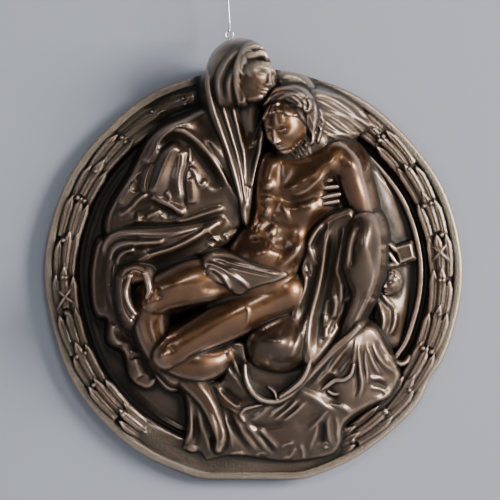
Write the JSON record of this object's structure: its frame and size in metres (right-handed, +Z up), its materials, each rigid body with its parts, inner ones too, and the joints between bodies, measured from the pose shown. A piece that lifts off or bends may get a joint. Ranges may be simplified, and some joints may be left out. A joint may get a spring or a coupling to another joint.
{
  "type": "bronze bas-relief roundel",
  "caption": "Round bronze bas-relief of a seated veiled woman holding a dead man across her lap inside a laurel wreath, hung by a screw eye on a wire.",
  "frame": {"origin": "where the hanging wire bears, under the top of the screw eye's ring", "axes": "+Z up along the hanging relief, -Y the way the carved front faces, +X to the right as seen from the front"},
  "size_m": [0.4203, 0.0946, 0.5111],
  "materials": {
    "bronze": "dark brown patinated cast bronze, waxed to a soft gloss",
    "steel": "bright drawn wire"
  },
  "bodies": {
    "root": {"relief": "bronze", "hanging_eye": "steel", "lower_loop": "steel", "hanging_wire": "steel", "upper_loop": "steel"}
  },
  "joints": []
}
